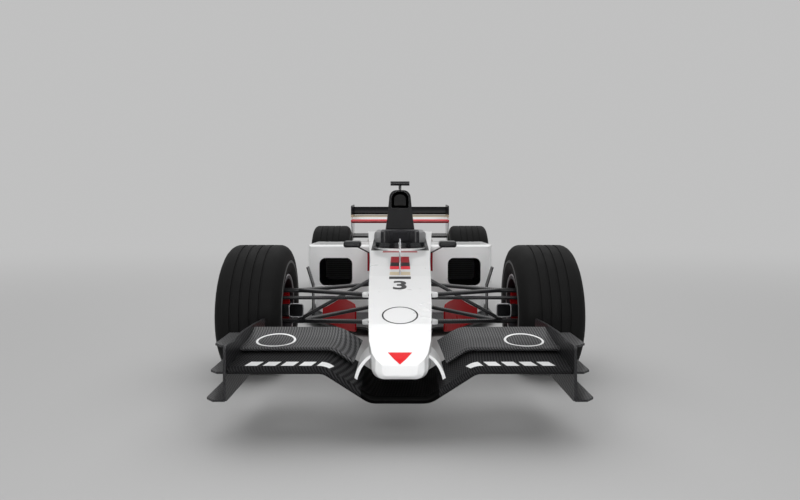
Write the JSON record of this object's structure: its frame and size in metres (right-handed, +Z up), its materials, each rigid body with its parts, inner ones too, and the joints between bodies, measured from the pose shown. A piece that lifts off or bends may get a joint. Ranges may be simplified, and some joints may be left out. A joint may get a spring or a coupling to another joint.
{
  "type": "open wheel racing car",
  "caption": "Open wheel racing car with a raised nose, spoon front wing, side air inlets, overhead airbox and rear wing, with wheels that roll and steer.",
  "frame": {"origin": "on the ground, at the middle of the length and width", "axes": "+X forward, +Y to the left of the car, +Z up"},
  "size_m": [4.7, 1.8, 1.0819],
  "materials": {
    "paint_white": "gloss paint on composite",
    "carbon": "lacquered woven carbon",
    "carbon_grey": "lacquered woven carbon, grey",
    "paint_red": "dark red gloss paint",
    "tyre": "grooved racing rubber",
    "rim": "dark forged wheel",
    "metal": "machined",
    "steel": "heat tinted steel",
    "wood": "pressed wood skid block",
    "pad": "foam covered with cloth",
    "screen": "smoked clear sheet",
    "lamp": "red lamp cover"
  },
  "bodies": {
    "chassis": {"antenna": "steel", "bargeboards": "paint_red", "camera_pod": "carbon", "diffuser": "carbon", "engine": "metal", "engine_cover": "carbon", "exhausts": "steel", "floor": "carbon", "front_lower_wishbones": "carbon", "front_pushrods": "carbon", "front_upper_wishbones": "carbon", "front_wing_endplates": "carbon_grey", "front_wing_flaps": "carbon_grey", "front_wing_main": "carbon_grey", "front_wing_pylons": "paint_white", "gearbox": "metal", "headrest": "pad", "mirrors": "carbon", "monocoque": "paint_white", "nose_cone": "paint_white", "plank": "wood", "pod_vanes": "carbon", "radiators": "metal", "rain_light": "lamp", "rear_beam_wing": "carbon", "rear_lower_wishbones": "carbon", "rear_pushrods": "carbon", "rear_upper_wishbones": "carbon", "rear_uprights": "metal", "rear_wing_endplates": "carbon", "rear_wing_flap": "carbon", "rear_wing_main": "carbon", "seat": "carbon", "sidepod_left": "paint_white", "sidepod_right": "paint_white", "windscreen": "screen"},
    "knuckle_left": {"brake_caliper_left": "paint_red", "brake_duct_left": "carbon", "front_upright_left": "metal"},
    "knuckle_right": {"brake_caliper_right": "paint_red", "brake_duct_right": "carbon", "front_upright_right": "metal"},
    "rear_wheel_left": {"driveshaft_left": "steel", "rear_rim_left": "rim", "rear_tyre_left": "tyre"},
    "rear_wheel_right": {"driveshaft_right": "steel", "rear_rim_right": "rim", "rear_tyre_right": "tyre"},
    "front_wheel_left": {"front_rim_left": "rim", "front_tyre_left": "tyre"},
    "front_wheel_right": {"front_rim_right": "rim", "front_tyre_right": "tyre"},
    "steering_wheel": {"steering_wheel": "carbon"},
    "track_rods": {"track_rods": "metal"}
  },
  "joints": [
    {"name": "steer_left", "type": "hinge", "parent": "chassis", "child": "knuckle_left", "pos_m": [1.3, 0.66, 0.33], "axis": [0, 0, 1], "range_deg": [-17, 17]},
    {"name": "front_wheel_left_spin", "type": "hinge", "parent": "knuckle_left", "child": "front_wheel_left", "pos_m": [1.3, 0.74, 0.33], "axis": [0, 1, 0], "continuous": true},
    {"name": "rear_wheel_left_spin", "type": "hinge", "parent": "chassis", "child": "rear_wheel_left", "pos_m": [-1.8, 0.7075, 0.33], "axis": [0, 1, 0], "continuous": true},
    {"name": "steer_right", "type": "hinge", "parent": "chassis", "child": "knuckle_right", "pos_m": [1.3, -0.66, 0.33], "axis": [0, 0, 1], "range_deg": [-17, 17]},
    {"name": "front_wheel_right_spin", "type": "hinge", "parent": "knuckle_right", "child": "front_wheel_right", "pos_m": [1.3, -0.74, 0.33], "axis": [0, 1, 0], "continuous": true},
    {"name": "rear_wheel_right_spin", "type": "hinge", "parent": "chassis", "child": "rear_wheel_right", "pos_m": [-1.8, -0.7075, 0.33], "axis": [0, 1, 0], "continuous": true},
    {"name": "track_rod_slide", "type": "slide", "parent": "chassis", "child": "track_rods", "axis": [0, 1, 0], "range_m": [-0.0253, 0.0253]},
    {"name": "steering_wheel_turn", "type": "hinge", "parent": "chassis", "child": "steering_wheel", "pos_m": [0.05, 0, 0.478], "axis": [-1, 0, 0], "range_deg": [-170, 170]}
  ],
  "couplings": [
    {"joint": "steer_right", "follows": "steer_left", "ratio": 1},
    {"joint": "track_rod_slide", "follows": "steer_left", "m_per_rad": 0.085},
    {"joint": "steering_wheel_turn", "follows": "steer_left", "ratio": 10}
  ]
}
